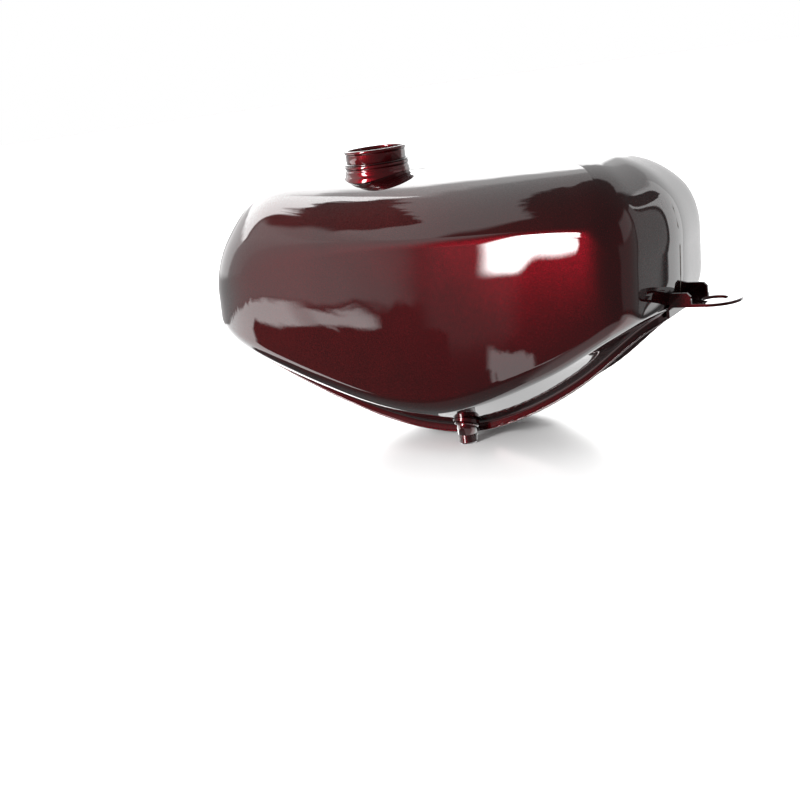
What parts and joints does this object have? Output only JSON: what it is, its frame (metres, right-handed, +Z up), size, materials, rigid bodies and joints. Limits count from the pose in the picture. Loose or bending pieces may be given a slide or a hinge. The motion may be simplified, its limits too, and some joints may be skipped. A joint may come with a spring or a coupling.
{
  "type": "fuel tank",
  "caption": "Saddle fuel tank for a small motorcycle: two pressed half shells over a frame tunnel, with an open filler neck, a threaded outlet stub and a rear mounting tongue.",
  "frame": {"origin": "axis of the rear mounting hole, at the top face of the rear tongue", "axes": "+X forward from the rear tongue to the nose, +Y to the rider's left, +Z up; the XZ plane is the centre plane"},
  "size_m": [0.4892, 0.2082, 0.25],
  "materials": {
    "lacquer": "candy metallic wine red under clear coat",
    "plated_steel": "zinc plated, satin",
    "bare_steel": "bare drawn steel"
  },
  "bodies": {
    "root": {"left_half_shell": "lacquer", "right_half_shell": "lacquer", "tunnel_pan": "lacquer", "crown_seam_bead": "bare_steel", "flange_seam_bead": "lacquer", "filler_neck": "lacquer", "bayonet_ring": "plated_steel", "filler_collar": "lacquer", "filler_weld": "lacquer", "outlet_boss": "lacquer", "outlet_plate": "lacquer", "outlet_weld": "lacquer", "rear_tongue": "lacquer", "tongue_rib_left": "lacquer", "tongue_rib_right": "lacquer", "tongue_weld": "lacquer", "front_strap": "lacquer", "front_lug_left": "lacquer", "front_lug_right": "lacquer", "front_weld_beads": "lacquer"}
  },
  "joints": []
}
